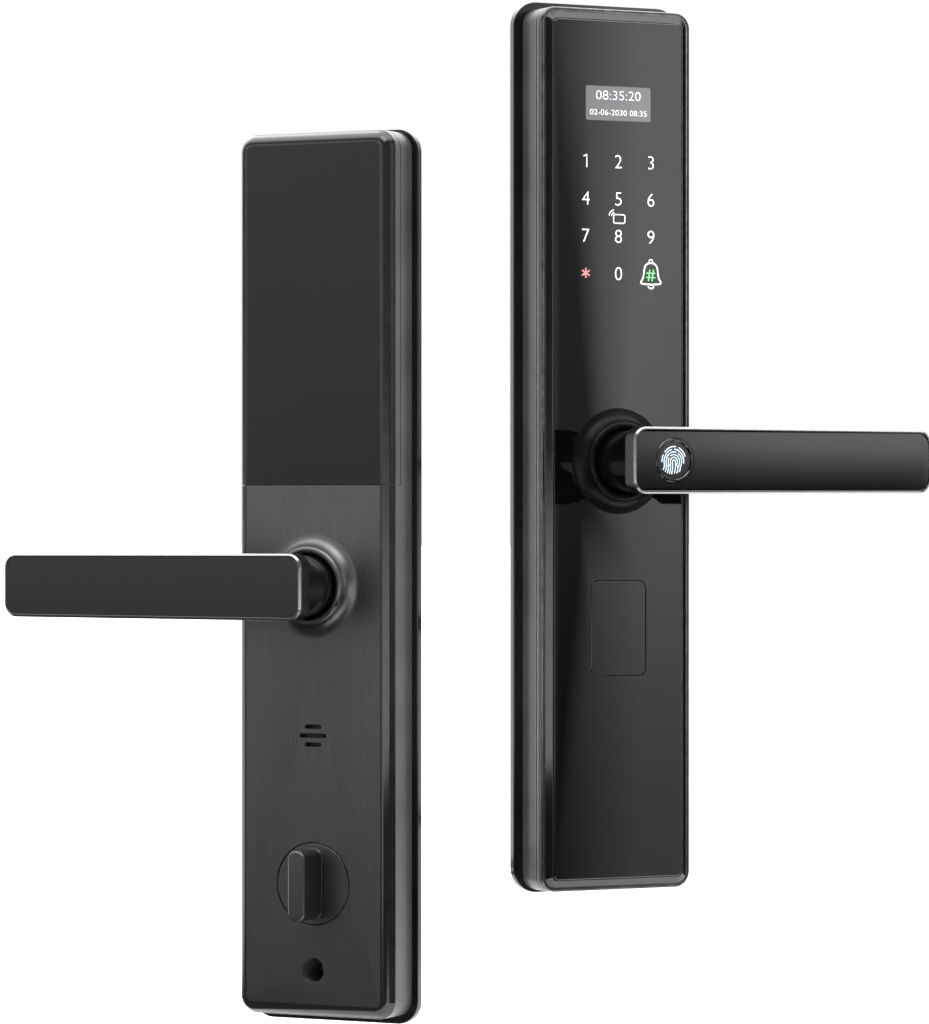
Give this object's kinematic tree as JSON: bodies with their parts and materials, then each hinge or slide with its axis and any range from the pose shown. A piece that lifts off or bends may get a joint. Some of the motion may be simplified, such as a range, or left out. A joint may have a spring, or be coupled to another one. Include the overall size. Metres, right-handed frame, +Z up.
{
  "type": "keypad smart lock",
  "caption": "Two-part door lock set: outdoor half with touch keypad, display and fingerprint lever, indoor half with battery case, lever and thumbturn.",
  "frame": {"origin": "on the outdoor handle's spindle axis, in the plane of the door's outer face", "axes": "+Y along the spindle into the door, so the outdoor half faces -Y; +Z up along the panels, the longest extent; +X to the right seen from outdoors. The indoor half stands beside it, turned 55.5 degrees about Z"},
  "size_m": [0.3599, 0.1861, 0.4404],
  "materials": {
    "die_cast_black": "satin black enamel on die-cast zinc",
    "edge_grey": "grey-black satin enamel on the casing sides",
    "gloss_panel": "deep gloss black acrylic",
    "brushed_dark": "fine vertical brushing, tinted black",
    "cover_plastic": "satin black moulded plastic",
    "neck_black": "gloss black",
    "inlay_black": "satin black",
    "display": "grey lit display window",
    "sensor": "dark satin sensor face",
    "steel": "zinc-plated steel",
    "spring_steel": "bright spring steel",
    "brass": "plain turned brass",
    "rubber": "matt black EPDM",
    "circuit_board": "green solder mask on glass-epoxy",
    "white_plastic": "natural nylon",
    "tray_plastic": "black moulded ABS",
    "cell_jacket": "printed jacket, plain",
    "copper": "copper winding",
    "nickel": "nickel plated"
  },
  "bodies": {
    "root": {"battery_cells": "cell_jacket", "battery_contacts": "nickel", "battery_tray": "tray_plastic", "cable_socket": "white_plastic", "card_reader_coil": "copper", "clutch_motor": "nickel", "control_board_screws": "steel", "display_module": "tray_plastic", "display_window": "display", "door_gaskets": "rubber", "front_panel": "gloss_panel", "housing_fixing_screws": "steel", "indoor_back_plate": "die_cast_black", "indoor_circuit_board": "circuit_board", "indoor_handle_bush": "brass", "indoor_housing": "brushed_dark", "indoor_return_spring": "spring_steel", "indoor_small_screws": "steel", "key_cylinder_body": "brass", "key_cylinder_nut": "brass", "key_light_guides": "white_plastic", "main_control_board": "circuit_board", "mounting_posts": "steel", "outdoor_back_plate": "die_cast_black", "outdoor_frame": "die_cast_black", "outdoor_handle_bush": "brass", "outdoor_housing": "edge_grey", "outdoor_plate_screws": "steel", "outdoor_return_spring": "spring_steel", "setup_switch": "tray_plastic", "speaker": "tray_plastic", "thumbturn_bracket": "steel", "thumbturn_leaf_spring": "spring_steel", "touch_keypad_board": "circuit_board", "usb_power_socket": "nickel"},
    "outdoor_lever_set": {"outdoor_neck": "neck_black", "outdoor_lever": "die_cast_black", "outdoor_lever_face": "inlay_black", "fingerprint_bezel": "neck_black", "fingerprint_sensor": "sensor", "outdoor_stop_plate": "steel", "outdoor_retaining_ring": "spring_steel"},
    "spindle_set": {"spindle_hub": "steel", "spindle": "steel"},
    "clutch_pin": {"clutch_pin": "steel"},
    "clutch_slider": {"clutch_slider": "steel"},
    "clutch_worm": {"clutch_worm": "steel"},
    "key_cover": {"key_cover": "gloss_panel"},
    "key_plug": {"key_cylinder_plug": "brass", "key_cylinder_tailpiece": "steel"},
    "indoor_lever_set": {"indoor_neck": "neck_black", "indoor_lever": "die_cast_black", "indoor_lever_face": "inlay_black", "indoor_stop_plate": "steel", "indoor_retaining_ring": "spring_steel"},
    "thumbturn_set": {"thumbturn": "die_cast_black", "thumbturn_shaft": "steel", "thumbturn_cam": "white_plastic"},
    "battery_cover": {"battery_cover": "cover_plastic"},
    "setup_button": {"setup_button": "white_plastic"}
  },
  "joints": [
    {"name": "outdoor_lever_turn", "type": "hinge", "parent": "root", "child": "outdoor_lever_set", "pos_m": [0, -0.03, 0], "axis": [0, 1, 0], "range_deg": [-45, 45], "stiffness_Nm_per_rad": 4, "springref_deg": -1.72},
    {"name": "spindle_turn", "type": "hinge", "parent": "root", "child": "spindle_set", "pos_m": [0, 0, 0], "axis": [0, 1, 0], "range_deg": [-45, 45]},
    {"name": "clutch_worm_turn", "type": "hinge", "parent": "root", "child": "clutch_worm", "pos_m": [0, -0.0093, 0.02], "axis": [0, 0, 1], "range_deg": [0, 324.1]},
    {"name": "clutch_slider_slide", "type": "slide", "parent": "root", "child": "clutch_slider", "axis": [0, 0, -1], "range_m": [0, 0.0009]},
    {"name": "clutch_pin_slide", "type": "slide", "parent": "outdoor_lever_set", "child": "clutch_pin", "axis": [0, 0, -1], "range_m": [0, 0.0009001]},
    {"name": "key_plug_turn", "type": "hinge", "parent": "root", "child": "key_plug", "pos_m": [0, -0.01, -0.072], "axis": [0, 1, 0], "range_deg": [0, 90]},
    {"name": "key_cover_pull", "type": "slide", "parent": "root", "child": "key_cover", "axis": [0, -1, 0], "range_m": [0, 0.02]},
    {"name": "indoor_lever_turn", "type": "hinge", "parent": "root", "child": "indoor_lever_set", "pos_m": [-0.12632, 0.02471, -0.0536], "axis": [-0.8241, -0.5664, 0], "range_deg": [-45, 45], "stiffness_Nm_per_rad": 4, "springref_deg": -1.72},
    {"name": "thumbturn_turn", "type": "hinge", "parent": "root", "child": "thumbturn_set", "pos_m": [-0.10984, 0.03604, -0.1816], "axis": [0.8241, 0.5664, 0], "range_deg": [0, 90]},
    {"name": "battery_cover_slide", "type": "slide", "parent": "root", "child": "battery_cover", "axis": [0, 0, 1], "range_m": [0, 0.152]},
    {"name": "setup_button_press", "type": "slide", "parent": "root", "child": "setup_button", "axis": [0.8241, 0.5664, 0], "range_m": [0, 0.0005], "stiffness_N_per_m": 2000}
  ],
  "couplings": [
    {"joint": "clutch_worm_turn", "follows": "clutch_slider_slide", "rad_per_m": 6283.2},
    {"joint": "clutch_pin_slide", "follows": "clutch_slider_slide", "ratio": 1}
  ]
}
